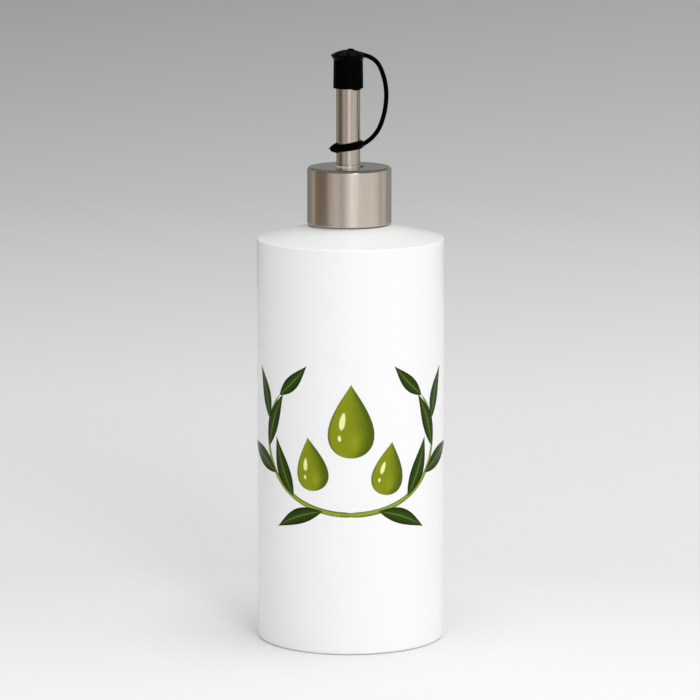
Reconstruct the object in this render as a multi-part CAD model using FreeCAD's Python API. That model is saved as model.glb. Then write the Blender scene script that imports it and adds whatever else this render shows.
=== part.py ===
"""Oil dispenser: a glazed ceramic bottle with a steel pourer and a tethered rubber stopper.

Four pieces, in millimetres. The bottle stands on Z = 0 with its axis on Z, and its front faces -Y.
The collar seats on a ledge at the top of the bottle's shoulder and slides over the neck. It clamps
the spout's flange against the neck's top. Collar and spout sit a little off the bottle's axis, as
fitted by hand, so a crescent of gap is left beside the spout. The stopper is one moulding: a cap
over the spout's tip, a brim with a fluted dome, a strap that loops down on the +X side and a ring
round the spout.
"""
import FreeCAD, Part

import math
import os

from FreeCAD import Vector

# Bottle
body_diameter = 70.0
rim_height = 151.3          # from the table to the sharp edge of the shoulder
shoulder_rise = 4.8         # from that edge up to the step round the neck
seat_step = 0.25            # from there up to the collar's seat
rim_round = 0.5
heel_round = 0.9            # outer edge of the foot
foot_ring_width = 4.0
foot_recess_depth = 2.0
foot_recess_slope = 1.6     # how far the recess's side leans inwards
seat_inset = 0.15           # from the collar's edge, at its nearest, in to the step
neck_clearance = 0.6       # between the neck and the collar's bore, on the radius
neck_chamfer = 0.8

# Collar
collar_diameter = 31.4
collar_height = 21.7
collar_offset = -0.45       # along X, off the bottle's axis
collar_wall = 1.5
collar_top_thickness = 1.2
collar_top_round = 1.3
collar_foot_round = 0.9
collar_inner_round = 0.6
spout_hole_gap = 0.9        # round the spout, on the radius
spout_hole_chamfer = 0.2

# Spout
spout_diameter = 8.9
spout_wall = 0.6
spout_reach = 39.2          # from the collar's top to the spout's tip
spout_offset = -0.85        # along X, off the bottle's axis
flange_cover = 2.65         # how far the flange reaches past the collar's hole
flange_thickness = 1.0
flange_round = 0.3          # where the tube turns out into its flange
lip_round = 0.2

# Stopper's cap
cap_clearance = 0.05        # round the spout, on the radius
cap_wall = 0.95             # at the sleeve's top
sleeve_length = 10.55       # from the sleeve's foot to the brim's underside
sleeve_draft = 0.15         # how much wider the foot is than the top, on the radius
sleeve_foot_round = 0.3
brim_overhang = 0.9
brim_slope = 1.5            # height of the brim's sloping underside
brim_edge = 0.35            # thickness of the brim's edge
dome_rise = 1.85
flute_count = 8             # an even number
flute_radius = 0.7
flute_depth = 0.18
nub_foot_radius = 1.95      # the moulding's gate mark on top of the dome
nub_top_radius = 0.75
nub_rise = 0.47
nub_round = 1.4
nub_offset = 0.85
tab_length = 0.45           # low lip under a part of the sleeve's foot
tab_sweep_deg = 40.0
tab_azimuth_deg = -46.0
tab_margin = 0.12           # how far the tab stays inside the sleeve's wall

# Stopper's strap and ring
strap_diameter = 1.7
strap_start = (2.0, -1.02)  # out from the spout's axis and down from the brim's top, under the dome
strap_lead = 5.3            # straight run over the dome and past the brim
strap_leave_deg = -16.8     # slope of that run
strap_shoulder = (11.75, 4.53)  # out and down, as the start
strap_widest = (14.1, 15.15)
strap_waist = (12.1, 25.83)
strap_heel_diameter = 1.95  # where the strap meets the ring
strap_heel_length = 2.5
strap_heel_drop = 0.1       # strap's middle below the ring's, at the ring
ring_drop = 21.54           # from the sleeve's foot down to the ring's middle
ring_height = 2.9
ring_width = 0.9            # from the bore to the start of the nose
ring_nose = 1.05            # how far the rounded nose stands out further
ring_edge_round = 0.4
ring_foot_round = 1.2
ring_tilt_deg = 8.0         # down on the side away from the strap
ear_reach = 2.75            # blunt ear on that side, from the bore outwards
ear_root_radius = 2.0
ear_end_radius = 1.3
ear_rise_deg = 2.0          # above the ring's own tilt
ear_turn_deg = 20.0         # round the spout, from -X towards -Y
barb_reach = 3.3            # thin barb on the ear, from the bore to its tip
barb_root_radius = 0.6
barb_tip_radius = 0.15
barb_rise_deg = 7.0

# Sizes that follow
body_radius = body_diameter / 2
collar_radius = collar_diameter / 2
collar_bore_radius = collar_radius - collar_wall
neck_radius = collar_bore_radius - neck_clearance
seat_radius = collar_radius - abs(collar_offset) - seat_inset
seat_height = rim_height + shoulder_rise + seat_step
collar_top = seat_height + collar_height
neck_top = collar_top - collar_top_thickness - flange_thickness
spout_radius = spout_diameter / 2
spout_tip = collar_top + spout_reach
spout_hole_radius = spout_radius + spout_hole_gap
flange_radius = spout_hole_radius + flange_cover
cap_bore_radius = spout_radius + cap_clearance
sleeve_top_radius = cap_bore_radius + cap_wall
sleeve_foot_radius = sleeve_top_radius + sleeve_draft
brim_radius = sleeve_top_radius + brim_overhang
brim_underside = spout_tip + 0.3 * brim_slope
sleeve_foot = brim_underside - sleeve_length
brim_bottom = brim_underside + brim_slope
brim_top = brim_bottom + brim_edge
dome_radius = (brim_radius ** 2 + dome_rise ** 2) / (2 * dome_rise)
dome_centre_z = brim_top + dome_rise - dome_radius
ring_middle = sleeve_foot - ring_drop
ring_shoulder_radius = cap_bore_radius + ring_width


def point(r, z):
    """A point of a profile, in the XZ plane."""
    return Vector(r, 0, z)


def line(a, b):
    return Part.makeLine(a, b)


def arc_by_tangent(start, tangent, end):
    """The arc that leaves start along tangent and ends at end, all in the XZ plane."""
    chord = end.sub(start)
    normal = Vector(-tangent.z, 0, tangent.x)
    radius = chord.dot(chord) / (2 * chord.dot(normal))
    centre = start.add(Vector(normal).multiply(radius))
    middle = Vector(start.sub(centre).add(end.sub(centre)))
    middle.normalize()
    middle = centre.add(middle.multiply(abs(radius)))
    return Part.Arc(start, middle, end).toShape()


def rounded_profile(corners):
    """A closed face from corners (r, z, radius): each corner with a radius becomes an arc."""
    edges = []
    count = len(corners)
    ends = []
    for i, (r, z, radius) in enumerate(corners):
        corner = point(r, z)
        before = point(*corners[i - 1][:2]).sub(corner).normalize()
        after = point(*corners[(i + 1) % count][:2]).sub(corner).normalize()
        if radius == 0:
            ends.append((corner, None, corner))
            continue
        half = before.getAngle(after) / 2
        reach = radius / math.tan(half)
        start = corner.add(Vector(before).multiply(reach))
        end = corner.add(Vector(after).multiply(reach))
        bisector = before.add(after).normalize()
        centre = corner.add(Vector(bisector).multiply(radius / math.sin(half)))
        ends.append((start, centre.sub(Vector(bisector).multiply(radius)), end))
    for i, (start, middle, end) in enumerate(ends):
        if middle is not None:
            edges.append(Part.Arc(start, middle, end).toShape())
        following = ends[(i + 1) % count][0]
        if end.distanceToPoint(following) > 1e-6:
            edges.append(line(end, following))
    return Part.Face(Part.Wire(edges))


def turned(face, x=0.0, sweep=360.0):
    """The face spun about the vertical axis, then moved to x."""
    solid = face.revolve(Vector(0, 0, 0), Vector(0, 0, 1), sweep)
    solid.translate(Vector(x, 0, 0))
    return solid


def make_bottle():
    """The ceramic body: foot ring, straight wall, conical shoulder, stepped seat and neck."""
    ring_inner = body_radius - foot_ring_width
    return turned(rounded_profile([
        (0, foot_recess_depth, 0),
        (ring_inner - foot_recess_slope, foot_recess_depth, 0.8),
        (ring_inner, 0, 0.3),
        (body_radius, 0, heel_round),
        (body_radius, rim_height, rim_round),
        (seat_radius, seat_height - seat_step, 0),
        (seat_radius, seat_height, 0),
        (neck_radius, seat_height, 0),
        (neck_radius, neck_top, neck_chamfer),
        (0, neck_top, 0),
    ]))


def make_collar():
    """The drawn steel cap over the neck, with a clearance hole for the spout."""
    hole_radius = spout_hole_radius
    inner_top = collar_top - collar_top_thickness
    return turned(rounded_profile([
        (collar_bore_radius, seat_height, 0),
        (collar_radius, seat_height, collar_foot_round),
        (collar_radius, collar_top, collar_top_round),
        (hole_radius + spout_hole_chamfer, collar_top, 0),
        (hole_radius, collar_top - spout_hole_chamfer, 0),
        (hole_radius, inner_top, 0),
        (collar_bore_radius, inner_top, collar_inner_round),
    ]), collar_offset)


def make_spout():
    """The steel tube, turned out at its foot into a flange that the collar holds down."""
    bore_radius = spout_radius - spout_wall
    flange_top = neck_top + flange_thickness
    return turned(rounded_profile([
        (bore_radius, neck_top, 0),
        (flange_radius, neck_top, 0.2),
        (flange_radius, flange_top, 0.2),
        (spout_radius, flange_top, flange_round),
        (spout_radius, spout_tip, lip_round),
        (bore_radius, spout_tip, lip_round),
    ]), spout_offset)


def make_cap():
    """The sleeve over the spout's tip, with its brim and dome."""
    crown = point(0, brim_top + dome_rise)
    edge = point(brim_radius, brim_top)
    dome_middle = math.asin(brim_radius / dome_radius) / 2
    on_dome = point(dome_radius * math.sin(dome_middle),
                    dome_centre_z + dome_radius * math.cos(dome_middle))
    foot_corner = point(sleeve_foot_radius, sleeve_foot)
    foot_start = foot_corner.add(Vector(-sleeve_foot_round, 0, 0))
    side = point(sleeve_top_radius, brim_underside).sub(foot_corner).normalize()
    foot_end = foot_corner.add(side.multiply(sleeve_foot_round))
    outline = Part.Wire([
        line(point(cap_bore_radius, sleeve_foot), foot_start),
        arc_by_tangent(foot_start, Vector(1, 0, 0), foot_end),
        line(foot_end, point(sleeve_top_radius, brim_underside)),
        line(point(sleeve_top_radius, brim_underside), point(brim_radius, brim_bottom)),
        line(point(brim_radius, brim_bottom), edge),
        Part.Arc(edge, on_dome, crown).toShape(),
        line(crown, point(0, spout_tip)),
        line(point(0, spout_tip), point(cap_bore_radius, spout_tip)),
        line(point(cap_bore_radius, spout_tip), point(cap_bore_radius, sleeve_foot)),
    ])
    cap = turned(Part.Face(outline), spout_offset)
    crossing = Vector(spout_offset, 0, dome_centre_z)
    for k in range(flute_count // 2):
        azimuth = math.radians(k * 360 / flute_count)
        across = Vector(-math.sin(azimuth), math.cos(azimuth), 0)
        groove_path = dome_radius + flute_radius - flute_depth
        cap = cap.cut(Part.makeTorus(groove_path, flute_radius, crossing, across))
    return cap


def make_nub():
    """The low round gate mark beside the dome's crown."""
    foot = dome_centre_z + math.sqrt(dome_radius ** 2 - (nub_offset + nub_foot_radius) ** 2)
    top = dome_centre_z + dome_radius + nub_rise
    return turned(rounded_profile([
        (0, foot - nub_rise, 0),
        (nub_foot_radius, foot - nub_rise, 0),
        (nub_foot_radius, foot, 0),
        (nub_top_radius, top, nub_round),
        (0, top, 0),
    ]), spout_offset + nub_offset)


def make_tab():
    """The lip that hangs from a short stretch of the sleeve's foot."""
    inner = cap_bore_radius + tab_margin
    outer = sleeve_foot_radius - sleeve_foot_round - tab_margin
    tab = turned(rounded_profile([
        (inner, sleeve_foot - tab_length, 0.15),
        (outer, sleeve_foot - tab_length, 0.15),
        (outer, sleeve_foot + tab_length, 0),
        (inner, sleeve_foot + tab_length, 0),
    ]), 0, tab_sweep_deg)
    tab.rotate(Vector(0, 0, 0), Vector(0, 0, 1), tab_azimuth_deg - tab_sweep_deg / 2)
    tab.translate(Vector(spout_offset, 0, 0))
    return tab


def heading(degrees):
    """A unit vector in the XZ plane, turned up from +X."""
    return Vector(math.cos(math.radians(degrees)), 0, math.sin(math.radians(degrees)))


def make_strap():
    """The round strap: straight over the dome, then tangent arcs past its widest point and in to the ring."""
    leave = heading(strap_leave_deg)
    start, *stations = [point(spout_offset + out, brim_top - down)
                        for out, down in (strap_start, strap_shoulder, strap_widest, strap_waist)]
    ring_end = point(spout_offset, ring_middle - strap_heel_drop)
    stations.append(ring_end.add(heading(ring_tilt_deg).multiply(cap_bore_radius + ring_width)))
    here = start.add(Vector(leave).multiply(strap_lead))
    arcs = [line(start, here)]
    direction = leave
    for station in stations:
        arcs.append(arc_by_tangent(here, direction, station))
        chord = station.sub(here).normalize()
        direction = Vector(chord).multiply(2 * chord.dot(direction)).sub(direction)
        here = station
    section = Part.Wire(Part.makeCircle(strap_diameter / 2, start, leave))
    strap = Part.Wire(arcs).makePipeShell([section], True, False)
    back = Vector(direction).multiply(-1)
    heel = Part.makeCone(strap_heel_diameter / 2, 0.75 * strap_diameter / 2, strap_heel_length, here, back)
    return strap.fuse(heel)


def make_ear():
    """The blunt ear with its barb, out from the ring's bore."""
    middle = ear_reach - ear_end_radius
    reach = math.hypot(ear_root_radius, middle)
    taper = math.acos(ear_end_radius / reach) - math.atan2(middle, ear_root_radius)
    inside = point(-cap_bore_radius / 3, 0)
    corner = point(-cap_bore_radius / 3, ear_root_radius)
    root = point(0, ear_root_radius)
    start = point(middle + ear_end_radius * math.sin(taper), ear_end_radius * math.cos(taper))
    end = point(ear_reach, 0)
    outline = Part.Wire([
        line(inside, corner),
        line(corner, root),
        line(root, start),
        arc_by_tangent(start, Vector(math.cos(taper), 0, -math.sin(taper)), end),
        line(end, inside),
    ])
    ear = Part.Face(outline).revolve(Vector(0, 0, 0), Vector(1, 0, 0), 360)
    ear.rotate(Vector(0, 0, 0), Vector(0, 1, 0), 180 + ear_rise_deg)
    out = heading(180 - barb_rise_deg)
    barb = Part.makeCone(barb_root_radius, barb_tip_radius, barb_reach, Vector(0, 0, 0), out)
    ear = ear.fuse(barb)
    ear.translate(Vector(-cap_bore_radius, 0, 0))
    ear.rotate(Vector(0, 0, 0), Vector(0, 0, 1), ear_turn_deg)
    return ear


def make_ring():
    """The tilted ring with its ear; the spout's bore is cut upright through it later."""
    half = ring_height / 2
    ring = turned(rounded_profile([
        (cap_bore_radius / 2, -half, 0),
        (ring_shoulder_radius, -half, ring_foot_round),
        (ring_shoulder_radius + ring_nose, 0, ring_edge_round),
        (ring_shoulder_radius, half, ring_edge_round),
        (cap_bore_radius / 2, half, 0),
    ])).fuse(make_ear())
    ring.rotate(Vector(0, 0, 0), Vector(0, 1, 0), -ring_tilt_deg)
    ring.translate(Vector(spout_offset, 0, ring_middle))
    return ring


def make_stopper():
    """Cap, nub, tab, strap and ring, fused into one moulding and bored for the spout."""
    moulding = make_cap().fuse([make_nub(), make_tab(), make_strap(), make_ring()])
    below_tip = spout_tip - collar_top
    bore = Part.makeCylinder(cap_bore_radius, below_tip, Vector(spout_offset, 0, collar_top))
    return moulding.cut(bore).removeSplitter()


def export(shape, node):
    if not shape.isValid() or len(shape.Solids) != 1:
        raise ValueError(f"{node} is not one valid solid: {len(shape.Solids)} solids")
    solid = shape.Solids[0]
    solid.exportStep(f"parts/{node}.step")
    box = solid.BoundBox
    print(f"{node}: {solid.Volume:.1f} mm3, Z {box.ZMin:.2f} to {box.ZMax:.2f}, X {box.XMin:.2f} to {box.XMax:.2f}")


os.makedirs("parts", exist_ok=True)
export(make_bottle(), "bottle")
export(make_collar(), "collar")
export(make_spout(), "spout")
export(make_stopper(), "stopper")
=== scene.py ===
import math

import bmesh
import bpy
from mathutils import Matrix, Vector, noise


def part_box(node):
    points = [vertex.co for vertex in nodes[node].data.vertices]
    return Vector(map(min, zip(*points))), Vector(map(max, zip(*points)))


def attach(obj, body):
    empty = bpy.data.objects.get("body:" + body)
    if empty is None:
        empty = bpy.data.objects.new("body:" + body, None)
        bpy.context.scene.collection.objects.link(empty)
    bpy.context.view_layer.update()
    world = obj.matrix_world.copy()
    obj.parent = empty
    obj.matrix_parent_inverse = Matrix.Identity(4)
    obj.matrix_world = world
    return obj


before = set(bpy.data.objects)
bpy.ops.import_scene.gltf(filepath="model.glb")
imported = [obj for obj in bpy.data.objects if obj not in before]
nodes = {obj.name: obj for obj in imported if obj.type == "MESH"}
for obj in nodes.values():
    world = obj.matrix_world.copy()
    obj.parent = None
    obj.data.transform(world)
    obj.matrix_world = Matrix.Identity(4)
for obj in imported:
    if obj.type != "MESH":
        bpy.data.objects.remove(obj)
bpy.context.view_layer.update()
print("frame loaded")


class Wire:
    # one output socket; sums and products on it add Math nodes
    def __init__(self, finish, socket):
        self.finish = finish
        self.socket = socket

    def __add__(self, other):
        return self.finish.maths("ADD", self, other)

    def __radd__(self, other):
        return self.finish.maths("ADD", other, self)

    def __sub__(self, other):
        return self.finish.maths("SUBTRACT", self, other)

    def __rsub__(self, other):
        return self.finish.maths("SUBTRACT", other, self)

    def __mul__(self, other):
        return self.finish.maths("MULTIPLY", self, other)

    def __rmul__(self, other):
        return self.finish.maths("MULTIPLY", other, self)

    def __truediv__(self, other):
        return self.finish.maths("DIVIDE", self, other)

    def __pow__(self, other):
        return self.finish.maths("POWER", self, other)


class Finish:
    # a node tree, for a material or for the world
    def __init__(self, owner, shader, constants):
        owner.use_nodes = True
        self.owner = owner
        self.tree = owner.node_tree
        self.tree.nodes.clear()
        self.shader = self.tree.nodes.new(shader)
        for socketName, value in constants.items():
            self.shader.inputs[socketName].default_value = value

    def node(self, kind, settings, inputs, output=0):
        made = self.tree.nodes.new(kind)
        for key, value in settings.items():
            if key == "stops":
                while len(made.color_ramp.elements) < len(value):
                    made.color_ramp.elements.new(1)
                for element, (position, colour) in zip(made.color_ramp.elements, value):
                    element.position = position
                    element.color = (*colour, 1)
            else:
                setattr(made, key, value)
        for key, value in inputs.items():
            self.put(made.inputs[key], value)
        return Wire(self, made.outputs[output])

    def put(self, target, value):
        if isinstance(value, Wire):
            self.tree.links.new(value.socket, target)
        elif hasattr(value, "__len__") and len(value) == 3 and len(target.default_value) == 4:
            target.default_value = (*value, 1)
        else:
            target.default_value = value

    def feed(self, socketName, value):
        self.put(self.shader.inputs[socketName], value)

    def maths(self, operation, *values):
        return self.node("ShaderNodeMath", {"operation": operation}, dict(enumerate(values)))

    def objectPoint(self):
        return self.node("ShaderNodeTexCoord", {}, {}, "Object")

    def uvPoint(self):
        return self.node("ShaderNodeUVMap", {"uv_map": "UVMap"}, {})

    def attribute(self, name):
        return self.node("ShaderNodeAttribute", {"attribute_name": name}, {}, "Fac")

    def stretched(self, point, scale):
        return self.node("ShaderNodeMapping", {}, {"Vector": point, "Scale": scale})

    def axis(self, point, name):
        return self.node("ShaderNodeSeparateXYZ", {}, {"Vector": point}, name)

    def noise(self, point, scale, detail=2, roughness=0.5):
        inputs = {"Vector": point, "Scale": scale, "Detail": detail, "Roughness": roughness}
        return self.node("ShaderNodeTexNoise", {}, inputs, "Fac")

    def ease(self, value, start, end, low=0, high=1):
        inputs = {"Value": value, "From Min": start, "From Max": end, "To Min": low, "To Max": high}
        return self.node("ShaderNodeMapRange", {"interpolation_type": "SMOOTHSTEP"}, inputs)

    def blend(self, share, first, second):
        return self.node("ShaderNodeMix", {"data_type": "RGBA"}, {0: share, 6: first, 7: second}, 2)

    def ramp(self, share, stops):
        return self.node("ShaderNodeValToRGB", {"stops": stops}, {0: share})

    def scaled(self, colour, factor):
        return self.node("ShaderNodeVectorMath", {"operation": "SCALE"}, {0: colour, "Scale": factor})

    def spot(self, along, across, middle, halves):
        # 0 in the middle of an oval, 1 on its edge
        first = (along - middle[0]) / halves[0]
        second = (across - middle[1]) / halves[1]
        return (first * first + second * second) ** 0.5

    def roughen(self, grain, low, high):
        self.feed("Roughness", self.ease(grain, 0.3, 0.7, low, high))

    def bump(self, height, strength, distance):
        inputs = {"Height": height, "Strength": strength, "Distance": distance}
        self.feed("Normal", self.node("ShaderNodeBump", {}, inputs))

    def done(self, outputKind="ShaderNodeOutputMaterial"):
        output = self.tree.nodes.new(outputKind)
        self.tree.links.new(self.shader.outputs[0], output.inputs["Surface"])
        return self.owner


def surface(name, constants):
    return Finish(bpy.data.materials.new(name), "ShaderNodeBsdfPrincipled", constants)


def dress(nodeName, material):
    for slot in nodes[nodeName].material_slots:
        slot.material = material


def build(name, mesh, material, smooth=False):
    # a bmesh made into an object of one material
    data = bpy.data.meshes.new(name)
    mesh.to_mesh(data)
    mesh.free()
    data.materials.append(material)
    for polygon in data.polygons:
        polygon.use_smooth = smooth
    made = bpy.data.objects.new(name, data)
    bpy.context.scene.collection.objects.link(made)
    return made


glaze = {
    "index": 1.5,
    "shine": 0.42,
    "white": (0.880, 0.880, 0.880),
    "cool": (0.868, 0.870, 0.873),
    "cloudScale": 14,
    "roughLow": 0.24,
    "roughHigh": 0.266,
    "bareClay": (0.70, 0.685, 0.655),  # the unglazed line where it stands
    "bareHeight": 0.00035,
    "bareRough": 0.5,  # on top of the glaze's
    "grainScale": 5200,
    "grainBump": 0.05,
    "grainDepth": 0.00005,
}


def makeGlaze():
    finish = surface("whiteGlaze", {"IOR": glaze["index"], "Specular IOR Level": glaze["shine"]})
    point = finish.objectPoint()
    cloud = finish.noise(point, glaze["cloudScale"], 1)
    bare = finish.ease(finish.axis(point, "Z"), glaze["bareHeight"], glaze["bareHeight"] * 2, 1, 0)
    tone = finish.blend(cloud, glaze["white"], glaze["cool"])
    finish.feed("Base Color", finish.blend(bare, tone, glaze["bareClay"]))
    rough = cloud * (glaze["roughHigh"] - glaze["roughLow"]) + glaze["roughLow"]
    finish.feed("Roughness", rough + bare * glaze["bareRough"])
    grain = finish.noise(point, glaze["grainScale"], 1)
    finish.bump(grain * bare, glaze["grainBump"], glaze["grainDepth"])
    return finish.done()


dress("bottle", makeGlaze())
print("bottle glazed")

collarLow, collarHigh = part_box("collar")
spoutLow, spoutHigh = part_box("spout")
seam = {  # painted shade in the gap round the tube, where it goes through the collar's plate
    "axis": (spoutLow.x + spoutHigh.x) / 2,
    "inner": 0.00447,  # outside of the tube
    "outer": 0.00540,  # the hole in the plate
    "edge": 0.0001,
    "plate": collarHigh.z - 0.00012,  # the painted shade starts just under the plate's face
    "plateEdge": 0.00008,
    # near black: painted shade down in the gap
    "paintedHoleShade": (0.004, 0.004, 0.004),
}
drawing = {  # marks that the collar and the tube share
    "streak": (1, 1, 0.035),  # drawn out along the axis
    "broad": (1, 1, 0.3),
    "broadScale": 190,
    "broadShare": 0.35,
    "hairline": (0.05, 0.05, 1),  # fine scratches round the wall
    "hairlineScale": 2600,
    "hairlineRange": (0.70, 0.76),
    "hairlineShare": 0.55,
    "bump": 0.03,
    "depth": 0.00004,
}
collarSteel = {
    "light": (0.70, 0.672, 0.640),
    "dark": (0.65, 0.620, 0.585),
    "scratch": (0.93, 0.91, 0.88),
    "streakScale": 1900,
    "roughLow": 0.13,
    "roughHigh": 0.18,
    "paintedFootShade": (0.13, 0.11, 0.09),  # painted shade under the rolled foot
    "paintedFootShadeRange": (collarLow.z + 0.0005, collarLow.z + 0.0010),
    "paintedFootShadeShare": 0.85,
}
spoutSteel = {
    "light": (0.60, 0.570, 0.535),
    "dark": (0.53, 0.500, 0.465),
    "scratch": (0.80, 0.77, 0.73),
    "streakScale": 2600,
    "roughLow": 0.05,
    "roughHigh": 0.09,
    "unshadedInside": seam["inner"],  # no painted shade on the tube's own wall
}


def offTube(finish, point):
    # across and deep from the tube's axis, and the distance from it
    across = finish.axis(point, "X") - seam["axis"]
    deep = finish.axis(point, "Y")
    return across, deep, (across * across + deep * deep) ** 0.5


def makeSteel(name, steel):
    finish = surface(name, {"Metallic": 1})
    point = finish.objectPoint()
    height = finish.axis(point, "Z")
    away = offTube(finish, point)[2]
    streak = finish.noise(finish.stretched(point, drawing["streak"]), steel["streakScale"], 3, 0.6)
    broad = finish.noise(finish.stretched(point, drawing["broad"]), drawing["broadScale"], 2)
    mixed = streak * (1 - drawing["broadShare"]) + broad * drawing["broadShare"]
    tone = finish.blend(finish.ease(mixed, 0.34, 0.66), steel["dark"], steel["light"])
    hairline = finish.noise(finish.stretched(point, drawing["hairline"]), drawing["hairlineScale"], 1)
    scratch = finish.ease(hairline, *drawing["hairlineRange"], 0, drawing["hairlineShare"])
    tone = finish.blend(scratch, tone, steel["scratch"])
    # painted shade: the collar darkens towards its rolled foot
    if "paintedFootShade" in steel:
        paintedFootShade = finish.ease(height, *steel["paintedFootShadeRange"], steel["paintedFootShadeShare"], 0)
        tone = finish.blend(paintedFootShade, tone, steel["paintedFootShade"])
    # painted shade: near black in the gap between the tube and the plate's hole, below the plate's face
    paintedHoleShade = finish.ease(away, seam["outer"], seam["outer"] + seam["edge"], 1, 0)
    paintedHoleShade = paintedHoleShade * finish.ease(height, seam["plate"], seam["plate"] + seam["plateEdge"], 1, 0)
    if "unshadedInside" in steel:
        paintedHoleShade = paintedHoleShade * finish.ease(away, steel["unshadedInside"], steel["unshadedInside"] + seam["edge"])
    finish.feed("Base Color", finish.blend(paintedHoleShade, tone, seam["paintedHoleShade"]))
    finish.roughen(streak * 0.5 + broad * 0.5, steel["roughHigh"], steel["roughLow"])
    finish.bump(streak, drawing["bump"], drawing["depth"])
    return finish.done()


dress("collar", makeSteel("collarSteel", collarSteel))
dress("spout", makeSteel("spoutSteel", spoutSteel))
print("steel on the collar and the spout")

solder = {  # the uneven bead at the tube's foot, nearly bare for a stretch on the right
    "ring": 0.00466,
    "thick": 0.00036,
    "lift": 0.00006,
    "lumps": 11,
    "uneven": 0.60,
    "bareMiddle": -0.2,  # radians round from the right
    "bareTo": 0.3,  # either side of that, in radians
    "fullFrom": 1.2,
    "bareThick": 0.25,  # share of the full bead
    "colour": (0.95, 0.94, 0.92),
    "dull": (0.50, 0.48, 0.45),
    "metal": 0.35,
    "grainScale": 2400,
    "grainRange": (0.42, 0.62),
    "roughLow": 0.14,
    "roughHigh": 0.26,
    "bump": 0.4,
    "depth": 0.00012,
}


def beadShare(turn):
    # how thick the bead is at a place round the tube
    lump = noise.noise(Vector((math.cos(turn), math.sin(turn), 0.3)) * solder["lumps"])
    fromBare = abs(turn - solder["bareMiddle"]) - solder["bareTo"]
    full = min(1, max(0, fromBare / (solder["fullFrom"] - solder["bareTo"])))
    return (1 + solder["uneven"] * lump) * (solder["bareThick"] + (1 - solder["bareThick"]) * full)


def makeSolderMesh():
    mesh = bmesh.new()
    verts = bmesh.ops.create_circle(mesh, segments=12, radius=solder["thick"])["verts"]
    upright = Matrix.Rotation(math.pi / 2, 3, "X")
    bmesh.ops.rotate(mesh, verts=verts, cent=(0, 0, 0), matrix=upright)
    bmesh.ops.translate(mesh, verts=verts, vec=(solder["ring"], 0, 0))
    bmesh.ops.spin(mesh, geom=mesh.verts[:] + mesh.edges[:], cent=(0, 0, 0), axis=(0, 0, 1),
                   angle=2 * math.pi, steps=160, use_merge=True)
    bmesh.ops.remove_doubles(mesh, verts=mesh.verts[:], dist=0.000001)
    for vert in mesh.verts:
        turn = math.atan2(vert.co.y, vert.co.x)
        middle = Vector((math.cos(turn), math.sin(turn), 0)) * solder["ring"]
        vert.co = middle + (vert.co - middle) * beadShare(turn)
    place = (seam["axis"], 0, collarHigh.z + solder["lift"])
    bmesh.ops.translate(mesh, verts=mesh.verts[:], vec=place)
    bmesh.ops.recalc_face_normals(mesh, faces=mesh.faces[:])
    return mesh


def makeSolderMetal():
    finish = surface("solder", {"Metallic": solder["metal"]})
    grain = finish.noise(finish.objectPoint(), solder["grainScale"], 3, 0.6)
    dull = finish.ease(grain, *solder["grainRange"])
    finish.feed("Base Color", finish.blend(dull, solder["colour"], solder["dull"]))
    finish.roughen(grain, solder["roughLow"], solder["roughHigh"])
    finish.bump(grain, solder["bump"], solder["depth"])
    return finish.done()


bead = build("solderBead", makeSolderMesh(), makeSolderMetal(), smooth=True)
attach(bead, "root")
print("solder at the foot of the tube")

rubber = {
    "index": 1.45,
    "shine": 0.022,
    "black": (0.0003, 0.0003, 0.0003),
    "worn": (0.0010, 0.0010, 0.0011),
    "wornScale": 380,
    "wornRange": (0.4, 0.75),
    "grainScale": 5200,
    "petalHighlight": (0.0092, 0.0104, 0.0104),  # painted highlight on the dome's petals between its grooves
    "petals": 8,
    "petalRange": (0.9, 0.1),
    "petalReach": (0.0012, 0.0055),  # out from the nub
    "petalGrain": (0.30, 0.65),
    "domeDrop": 0.0023,  # from the very top down to the brim
    "domeEdge": 0.0002,
    "roughLow": 0.22,
    "roughHigh": 0.266,
    "bump": 0.15,
    "depth": 0.00004,
}


def makeRubber():
    finish = surface("blackRubber", {"IOR": rubber["index"], "Specular IOR Level": rubber["shine"]})
    point = finish.objectPoint()
    grain = finish.noise(point, rubber["grainScale"], 2, 0.6)
    patch = finish.noise(point, rubber["wornScale"], 3)
    black = finish.blend(finish.ease(patch, *rubber["wornRange"]), rubber["black"], rubber["worn"])
    across, deep, away = offTube(finish, point)
    # painted highlight: each petal of the dome is lighter, fading at its grooves and stronger out
    # towards the brim
    turn = finish.maths("ARCTAN2", deep, across)
    wave = finish.maths("SINE", turn * rubber["petals"] + math.pi / 2)
    petalHighlight = finish.ease(wave, *rubber["petalRange"]) * finish.ease(away, *rubber["petalReach"])
    petalHighlight = petalHighlight * finish.ease(grain, *rubber["petalGrain"])
    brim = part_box("stopper")[1].z - rubber["domeDrop"]
    petalHighlight = petalHighlight * finish.ease(finish.axis(point, "Z"), brim, brim + rubber["domeEdge"])
    finish.feed("Base Color", finish.blend(petalHighlight, black, rubber["petalHighlight"]))
    finish.roughen(patch * 0.6 + grain * 0.4, rubber["roughLow"], rubber["roughHigh"])
    finish.bump(grain + patch * 0.6, rubber["bump"], rubber["depth"])
    return finish.done()


dress("stopper", makeRubber())
print("rubber on the stopper")

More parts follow.
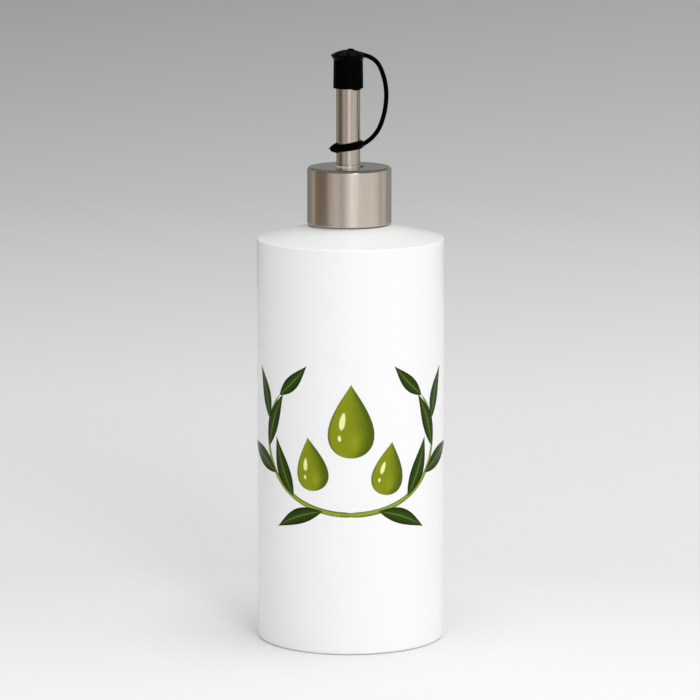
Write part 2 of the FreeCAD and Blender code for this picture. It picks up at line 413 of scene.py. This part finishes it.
bottleLow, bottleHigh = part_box("bottle")
wallRadius = (bottleHigh.x - bottleLow.x) / 2
wreath = {  # an oval on the unrolled wall, which the sprigs follow
    "centre": 0.0800,  # height of its middle
    "halfWidth": 0.0365,  # along the wall, from the front line
    "halfHeight": 0.0270,
    "proud": 0.00003,  # off the wall
    "thick": 0.00006,  # of the fired ink
    "layer": 0.000002,  # between shapes that lie over each other
}
sprig = {  # the right one; the left is its mirror
    "startAngle": -96,  # degrees round the oval
    "endAngle": 38,
    "thickStart": 0.0021,
    "thickEnd": 0.0010,
    "startSwell": (0.35, 9),  # share of the thickness at the very start, and how fast it fills
    "endTaper": 14,
    "leafRoots": (0.17, 0.33, 0.49, 0.65, 0.81),  # shares of the stem
    "leafLength": 0.0245,
    "leafWidth": 0.0066,
    "leafShape": (0.82, 1.15),  # where it is widest, and how pointed it is
    "leafBow": 0.05,
    "leafSpread": 34,  # degrees off the stem
    "spreadVary": 4,
    "fullestAt": 0.45,
    "shrink": 0.42,  # away from the fullest place
    "tipRoot": 0.985,
    "tipSize": (0.72, 0.8),  # shares of a leaf's length and width
    "tipBow": 0.03,
}
oilDrops = [  # along the wall, height of the middle, how tall, degrees of lean, tone
    (0.0002, 0.0880, 0.0275, 0, 0.45),
    (-0.0150, 0.0715, 0.0200, 8, 0.25),
    (0.0145, 0.0700, 0.0200, -8, 0.75),
]
dropShape = {
    "width": 0.43,  # half of it, as a share of the height
    "point": 1.25,
}
cuts = {  # along and across each shape
    "stem": (60, 3),
    "leaf": (26, 8),
    "drop": (30, 16),
}


def wrapped(spot, lift):
    # a point of the unrolled wall, taken round the bottle
    turn = spot.x / wallRadius
    radius = wallRadius + wreath["proud"] + lift
    return Vector((radius * math.sin(turn), -radius * math.cos(turn), spot.y))


class Motifs:
    # one mesh of many thin printed shapes, each with its own UVs and tone
    def __init__(self):
        self.mesh = bmesh.new()
        self.mesh.loops.layers.uv.new("UVMap")
        self.tone = self.mesh.verts.layers.float.new("tone")

    def add(self, kind, place, tone=0.5, layers=0):
        alongCuts, acrossCuts = cuts[kind]
        made = bmesh.ops.create_grid(self.mesh, x_segments=alongCuts, y_segments=acrossCuts,
                                     size=0.5, calc_uvs=True)
        for vert in made["verts"]:
            spot = place(vert.co.x + 0.5, vert.co.y * 2)
            vert.co = wrapped(spot, layers * wreath["layer"])
            vert[self.tone] = tone
        bmesh.ops.remove_doubles(self.mesh, verts=made["verts"], dist=0.000004)

    def thicken(self):
        mesh = self.mesh
        bmesh.ops.recalc_face_normals(mesh, faces=mesh.faces[:])
        for face in mesh.faces:
            middle = face.calc_center_median()
            if face.normal.dot(Vector((middle.x, middle.y, 0))) < 0:
                face.normal_flip()
        bmesh.ops.solidify(mesh, geom=mesh.faces[:], thickness=wreath["thick"])
        bmesh.ops.recalc_face_normals(mesh, faces=mesh.faces[:])
        return mesh


def sprigPoint(share, side):
    angle = math.radians(sprig["startAngle"] + (sprig["endAngle"] - sprig["startAngle"]) * share)
    across = side * wreath["halfWidth"] * math.cos(angle)
    return Vector((across, wreath["centre"] + wreath["halfHeight"] * math.sin(angle)))


def sprigDirection(share, side):
    return (sprigPoint(share + 0.01, side) - sprigPoint(share - 0.01, side)).normalized()


def stemPlace(side):
    least, swell = sprig["startSwell"]

    def place(along, across):
        direction = sprigDirection(along, side)
        half = (sprig["thickStart"] + (sprig["thickEnd"] - sprig["thickStart"]) * along) / 2
        half *= min(1, swell * along + least) * min(1, sprig["endTaper"] * (1 - along))
        return sprigPoint(along, side) + Vector((-direction.y, direction.x)) * half * across
    return place


def leafPlace(root, heading, length, width, bow):
    forward = Vector((math.cos(heading), math.sin(heading)))
    aside = Vector((-forward.y, forward.x))
    widest, pointed = sprig["leafShape"]

    def place(along, across):
        half = width / 2 * math.sin(math.pi * along ** widest) ** pointed
        bend = bow * length * math.sin(math.pi * along)
        return root + forward * length * along + aside * (half * across + bend)
    return place


def dropPlace(middle, height, lean):
    turn = Matrix.Rotation(math.radians(lean), 2)

    def place(along, across):
        angle = math.pi * (1 - along)  # from the round foot to the tip
        half = height * dropShape["width"] * math.sin(angle) * math.sin(angle / 2) ** dropShape["point"]
        return middle + turn @ Vector((half * across, height / 2 * math.cos(angle)))
    return place


def sprigLeaf(step, side):
    share = sprig["leafRoots"][step]
    direction = sprigDirection(share, side)
    hand = side if step % 2 else -side
    spread = math.radians(sprig["leafSpread"] + sprig["spreadVary"] * math.sin(step * 2.1))
    heading = math.atan2(direction.y, direction.x) + hand * spread
    size = 1 - sprig["shrink"] * abs(share - sprig["fullestAt"])
    return leafPlace(sprigPoint(share, side), heading, sprig["leafLength"] * size,
                     sprig["leafWidth"] * size, -sprig["leafBow"] * hand)


def sprigTip(side):
    direction = sprigDirection(1, side)
    heading = math.atan2(direction.y, direction.x)
    length, width = sprig["tipSize"]
    return leafPlace(sprigPoint(sprig["tipRoot"], side), heading, sprig["leafLength"] * length,
                     sprig["leafWidth"] * width, sprig["tipBow"] * side)


def makeMotifs():
    stems, leaves, drops = Motifs(), Motifs(), Motifs()
    for side in (-1, 1):
        stems.add("stem", stemPlace(side), layers=3 * side)
        for step in range(len(sprig["leafRoots"])):
            tone = 0.5 + 0.35 * math.sin(step * 1.7 + side)
            leaves.add("leaf", sprigLeaf(step, side), tone, 5 + step)
        leaves.add("leaf", sprigTip(side), 0.6, 5 + len(sprig["leafRoots"]))
    for across, height, tall, lean, tone in oilDrops:
        drops.add("drop", dropPlace(Vector((across, height)), tall, lean), tone)
    return stems, leaves, drops


inkShine = 0.05
inkRough = 0.26  # at most
leafInk = {
    "inner": (0.028, 0.062, 0.004),
    "edge": (0.010, 0.024, 0.002),
    "edgeRange": (0.25, 0.95),
    "veins": 11,  # along the leaf
    "veinSlant": 1.6,
    "veinRange": (0.55, 1.0),
    "veinFade": (0.9, 0.5),  # towards the edge
    "veinShare": 0.30,
    "vein": (0.055, 0.105, 0.012),
    "stripes": 34,
    "stripeWander": 5,
    "stripeRange": (0.1, 0.9),
    "stripeShare": 0.4,
    "stripe": (0.009, 0.021, 0.002),
    "tipRange": (0.78, 1.0),
    "tipShare": 0.6,
    "tip": (0.010, 0.020, 0.003),
    "warmShare": 0.25,
    "warm": (0.042, 0.068, 0.006),
    "ribRange": (0.05, 0.16),  # out from the middle line
    "ribEnd": (0.80, 0.97),
    "ribShare": 0.75,
    "rib": (0.115, 0.190, 0.035),
    "grainScale": 1500,
    "rough": 0.20,
}


def makeLeafInk():
    finish = surface("leafInk", {"Specular IOR Level": inkShine})
    uv = finish.uvPoint()
    along = finish.axis(uv, "X")
    across = finish.maths("ABSOLUTE", finish.axis(uv, "Y") * 2 - 1)
    grain = finish.noise(finish.objectPoint(), leafInk["grainScale"], 3, 0.65)
    edge = finish.ease(across + grain * 0.5 - 0.25, *leafInk["edgeRange"])
    body = finish.blend(edge, leafInk["inner"], leafInk["edge"])
    stripe = finish.maths("SINE", across * leafInk["stripes"] + grain * leafInk["stripeWander"])
    stripe = finish.ease(stripe, *leafInk["stripeRange"], 0, leafInk["stripeShare"])
    body = finish.blend(stripe, body, leafInk["stripe"])
    place = along * leafInk["veins"] - across * leafInk["veinSlant"]
    vein = finish.ease(finish.maths("SINE", place * (2 * math.pi)), *leafInk["veinRange"])
    vein = vein * finish.ease(across, *leafInk["veinFade"])
    body = finish.blend(vein * leafInk["veinShare"], body, leafInk["vein"])
    tip = finish.ease(along, *leafInk["tipRange"], 0, leafInk["tipShare"])
    body = finish.blend(tip, body, leafInk["tip"])
    body = finish.blend(finish.attribute("tone") * leafInk["warmShare"], body, leafInk["warm"])
    rib = finish.ease(across, *leafInk["ribRange"], leafInk["ribShare"], 0)
    rib = rib * finish.ease(along, *leafInk["ribEnd"], 1, 0)
    finish.feed("Base Color", finish.blend(rib, body, leafInk["rib"]))
    finish.roughen(grain, leafInk["rough"], inkRough)
    return finish.done()


stemInk = {
    "lit": (0.290, 0.360, 0.038),
    "litAt": 0.55,  # across the stem
    "litRange": (0.1, 0.5),
    "shade": (0.105, 0.145, 0.014),
    "fleck": (0.130, 0.170, 0.020),
    "fleckRange": (0.4, 0.8),
    "fleckShare": 0.4,
    "grainScale": 1500,
    "rough": 0.20,
}


def makeStemInk():
    finish = surface("stemInk", {"Specular IOR Level": inkShine})
    across = finish.axis(finish.uvPoint(), "Y")
    grain = finish.noise(finish.objectPoint(), stemInk["grainScale"], 3, 0.65)
    shade = finish.ease(finish.maths("ABSOLUTE", across - stemInk["litAt"]), *stemInk["litRange"])
    body = finish.blend(shade, stemInk["lit"], stemInk["shade"])
    fleck = finish.ease(grain, *stemInk["fleckRange"], 0, stemInk["fleckShare"])
    finish.feed("Base Color", finish.blend(fleck, body, stemInk["fleck"]))
    finish.roughen(grain, stemInk["rough"], inkRough)
    return finish.done()


oilInk = {
    "lit": (0.245, 0.280, 0.009),
    "shade": (0.062, 0.100, 0.004),
    "shadeRange": (-0.25, 0.85),
    "glow": (0.370, 0.400, 0.018),
    "glowSpot": ((0.30, 0.18), (0.20, 0.42)),  # middle and halves, along and across
    "glowShare": 0.45,
    "warm": (0.140, 0.200, 0.012),
    "warmShare": 0.22,
    "fleck": (0.320, 0.350, 0.075),
    "fleckScale": 4200,
    "fleckRange": (0.62, 0.72),
    "fleckFrom": (0.45, 0.85),  # only towards the edge
    "fleckShare": 0.30,
    "rim": (0.070, 0.105, 0.010),
    "rimRange": (0.86, 0.97),
    "rimShare": 0.7,
    "shine": (0.800, 0.860, 0.380),
    "bigSpot": ((0.50, -0.42), (0.085, 0.16)),
    "bigEdge": 0.75,  # where the spot starts to fade
    "smallSpot": ((0.345, -0.50), (0.035, 0.085)),
    "smallEdge": 0.7,
    "grainScale": 900,
    "rough": 0.18,
}


def makeOilInk():
    finish = surface("oilInk", {"Specular IOR Level": inkShine})
    uv = finish.uvPoint()
    along = finish.axis(uv, "X")
    across = finish.axis(uv, "Y") * 2 - 1
    aside = finish.maths("ABSOLUTE", across)
    grain = finish.noise(finish.objectPoint(), oilInk["grainScale"], 3, 0.6)
    shade = across * 0.55 + aside ** 3 * 0.5 + (grain - 0.5) * 0.35
    body = finish.blend(finish.ease(shade, *oilInk["shadeRange"]), oilInk["lit"], oilInk["shade"])
    glow = finish.ease(finish.spot(along, across, *oilInk["glowSpot"]), 1.0, 0.0)
    body = finish.blend(glow * oilInk["glowShare"], body, oilInk["glow"])
    body = finish.blend(finish.attribute("tone") * oilInk["warmShare"], body, oilInk["warm"])
    fleck = finish.noise(finish.objectPoint(), oilInk["fleckScale"], 1)
    fleck = finish.ease(fleck, *oilInk["fleckRange"]) * finish.ease(aside, *oilInk["fleckFrom"])
    body = finish.blend(fleck * oilInk["fleckShare"], body, oilInk["fleck"])
    rim = finish.ease(aside, *oilInk["rimRange"])
    body = finish.blend(rim * oilInk["rimShare"], body, oilInk["rim"])
    big = finish.ease(finish.spot(along, across, *oilInk["bigSpot"]), 1.0, oilInk["bigEdge"])
    small = finish.ease(finish.spot(along, across, *oilInk["smallSpot"]), 1.0, oilInk["smallEdge"])
    finish.feed("Base Color", finish.blend(big + small, body, oilInk["shine"]))
    finish.roughen(grain, oilInk["rough"], inkRough)
    return finish.done()


def printOn(name, motifs, material):
    made = build(name, motifs.thicken(), material)
    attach(made, "root")


stems, leaves, drops = makeMotifs()
printOn("printStems", stems, makeStemInk())
printOn("printLeaves", leaves, makeLeafInk())
printOn("printDrops", drops, makeOilInk())
print("print on the bottle")

floorPlan = {
    "radius": 7.0,
    "near": -0.6,  # where the gradient starts and ends, along the view
    "far": 3.4,
    "stops": [  # place along the view, and the painted brightness there, as the light falls off away from the camera
        (-0.60, 0.945), (-0.10, 0.945), (-0.045, 0.915), (0.02, 0.872), (0.055, 0.850),
        (0.11, 0.815), (0.25, 0.828), (0.50, 0.832), (0.83, 0.780), (1.03, 0.748),
        (1.28, 0.697), (1.95, 0.641), (3.06, 0.572),
    ],
    "coolFrom": 0.2,  # the far paper is a little greener
    "coolTo": 1.2,
    "cool": (0.978, 1.0, 0.992),
    "sideways": 0.19,  # painted light: how much brighter on the right
    "sideReach": 1.5,
    "gain": 0.917,  # of the colour that is seen, over the colour that lights the piece
    "bounce": 0.86,
}


def seenShare(finish):
    # 1 where the camera sees it, straight or in metal and glass; 0 where it only lights
    kinds = ("Is Camera Ray", "Is Glossy Ray", "Is Transmission Ray")
    straight, mirrored, through = [finish.node("ShaderNodeLightPath", {}, {}, kind) for kind in kinds]
    return finish.maths("MAXIMUM", finish.maths("MAXIMUM", straight, mirrored), through)


def paperTone(place, tone):
    cool = (place - floorPlan["coolFrom"]) / (floorPlan["coolTo"] - floorPlan["coolFrom"])
    cool = min(1, max(0, cool))
    return [tone * (1 + (tint - 1) * cool) for tint in floorPlan["cool"]]


def makePaper():
    finish = Finish(bpy.data.materials.new("floorPaper"), "ShaderNodeBsdfDiffuse", {})
    point = finish.objectPoint()
    near = floorPlan["near"]
    span = floorPlan["far"] - near
    stops = [((place - near) / span, paperTone(place, tone)) for place, tone in floorPlan["stops"]]
    # painted light: the seen floor darkens away from the camera and brightens to the right
    tone = finish.ramp((finish.axis(point, "Y") - near) / span, stops)
    reach = floorPlan["sideReach"]
    tilt = floorPlan["sideways"]
    side = finish.ease(finish.axis(point, "X"), -reach, reach, 1 - tilt, 1 + tilt)
    seen = finish.scaled(tone, side * floorPlan["gain"])
    finish.feed("Color", finish.blend(seenShare(finish), (floorPlan["bounce"],) * 3, seen))
    return finish.done()


def makeFloor():
    mesh = bmesh.new()
    bmesh.ops.create_circle(mesh, cap_ends=True, segments=96, radius=floorPlan["radius"])
    floor = build("floor", mesh, makePaper())


cards = {  # one ring of cards round the piece, seen only in what shines
    "radius": 0.62,
    "bottom": 0.04,
    "top": 0.50,
    "fadeFrom": 0.38,  # the cards darken from here up
    "fadeTo": 0.35,
    "tones": [  # degrees round from the camera's side, and the card's colour there
        (-180, (0.25, 0.25, 0.24)), (-136, (0.23, 0.22, 0.20)),
        (-121, (0.36, 0.32, 0.27)), (-111, (0.44, 0.38, 0.32)),  # a thin pale edge
        (-105, (0.23, 0.18, 0.12)), (-86, (0.18, 0.13, 0.085)),  # brown card
        (-64, (0.22, 0.17, 0.125)), (-60, (0.36, 0.30, 0.24)),
        (-42, (0.55, 0.49, 0.42)), (-29, (0.57, 0.51, 0.45)),  # beige card
        (-25, (0.47, 0.42, 0.37)), (-17, (0.47, 0.42, 0.37)),
        (-8, (0.66, 0.61, 0.55)), (0, (0.88, 0.82, 0.76)),  # white card
        (8, (1.00, 0.94, 0.88)), (16, (0.93, 0.88, 0.82)),
        (22, (0.87, 0.81, 0.75)), (29, (0.73, 0.67, 0.60)),  # second beige card
        (64, (0.76, 0.70, 0.63)), (78, (0.70, 0.64, 0.57)),
        (88, (0.58, 0.53, 0.46)), (94, (0.44, 0.40, 0.34)),
        (99, (0.56, 0.51, 0.44)), (112, (0.58, 0.53, 0.46)),
        (121, (0.36, 0.34, 0.30)), (180, (0.25, 0.25, 0.24)),
    ],
}


def makeCardGlow():
    finish = Finish(bpy.data.materials.new("cards"), "ShaderNodeEmission", {"Strength": 1.0})
    point = finish.objectPoint()
    turn = finish.maths("ARCTAN2", finish.axis(point, "X"), 0 - finish.axis(point, "Y"))
    stops = [(degrees / 360 + 0.5, colour) for degrees, colour in cards["tones"]]
    tone = finish.ramp(turn / (2 * math.pi) + 0.5, stops)
    fade = finish.ease(finish.axis(point, "Z"), cards["fadeFrom"], cards["top"], 1, cards["fadeTo"])
    finish.feed("Color", finish.scaled(tone, fade))
    return finish.done()


def makeCards():
    mesh = bmesh.new()
    low = mesh.verts.new(Vector((0, -cards["radius"], cards["bottom"])))
    high = mesh.verts.new(Vector((0, -cards["radius"], cards["top"])))
    edge = mesh.edges.new((low, high))
    bmesh.ops.spin(mesh, geom=[low, high, edge], cent=(0, 0, 0), axis=(0, 0, 1),
                   angle=2 * math.pi, steps=144, use_merge=True)
    ring = build("cards", mesh, makeCardGlow())
    ring.visible_camera = False
    ring.visible_diffuse = False
    ring.visible_shadow = False


makeFloor()
makeCards()
print("floor and cards")

lights = {
    "worldLevel": 0.668,
    "worldTilt": 0.31,  # how much brighter on the right
    "backdrop": 0.18,
    "aim": (0, 0, 0.1),
    "lamps": [  # name, degrees round, degrees up, distance, size, watts, whether metal shows it
        ("key", 19, 22, 3.0, 1.0, 24.2, True),
        ("top", 20, 84, 1.6, 1.0, 9.2, False),
    ],
}


def makeWorld():
    world = bpy.data.worlds.new("studio")
    bpy.context.scene.world = world
    finish = Finish(world, "ShaderNodeBackground", {"Color": (1, 1, 1, 1)})
    right = finish.axis(finish.node("ShaderNodeTexCoord", {}, {}, "Generated"), "X")
    level = (right * lights["worldTilt"] + 1) * lights["worldLevel"]
    seen = seenShare(finish)
    finish.feed("Strength", seen * lights["backdrop"] + (1 - seen) * level)
    finish.done("ShaderNodeOutputWorld")


def makeLamps():
    for name, turn, rise, distance, size, watts, shown in lights["lamps"]:
        lamp = bpy.data.lights.new(name, "AREA")
        lamp.shape = "DISK"
        lamp.size = size
        lamp.energy = watts
        made = bpy.data.objects.new(name, lamp)
        bpy.context.scene.collection.objects.link(made)
        made.visible_glossy = shown
        aside = math.radians(turn)
        up = math.radians(rise)
        away = Vector((math.sin(aside) * math.cos(up), -math.cos(aside) * math.cos(up), math.sin(up)))
        made.location = Vector(lights["aim"]) + away * distance
        made.rotation_mode = "QUATERNION"
        made.rotation_quaternion = away.to_track_quat("Z", "Y")


camera = {
    "place": (-0.0002, -1.4684, 0.3550),
    "down": 9.518,  # degrees below the horizon
    "lens": 204.49,
    "sensor": 36,
    "clipStart": 0.05,
    "clipEnd": 40,
}


def makeCamera():
    data = bpy.data.cameras.new("camera")
    data.lens = camera["lens"]
    data.sensor_width = camera["sensor"]
    data.clip_start = camera["clipStart"]
    data.clip_end = camera["clipEnd"]
    made = bpy.data.objects.new("camera", data)
    bpy.context.scene.collection.objects.link(made)
    made.location = camera["place"]
    made.rotation_euler = (math.radians(90 - camera["down"]), 0, 0)
    bpy.context.scene.camera = made


makeWorld()
makeLamps()
makeCamera()
bpy.context.scene.view_settings.view_transform = "Standard"
print("light and camera")
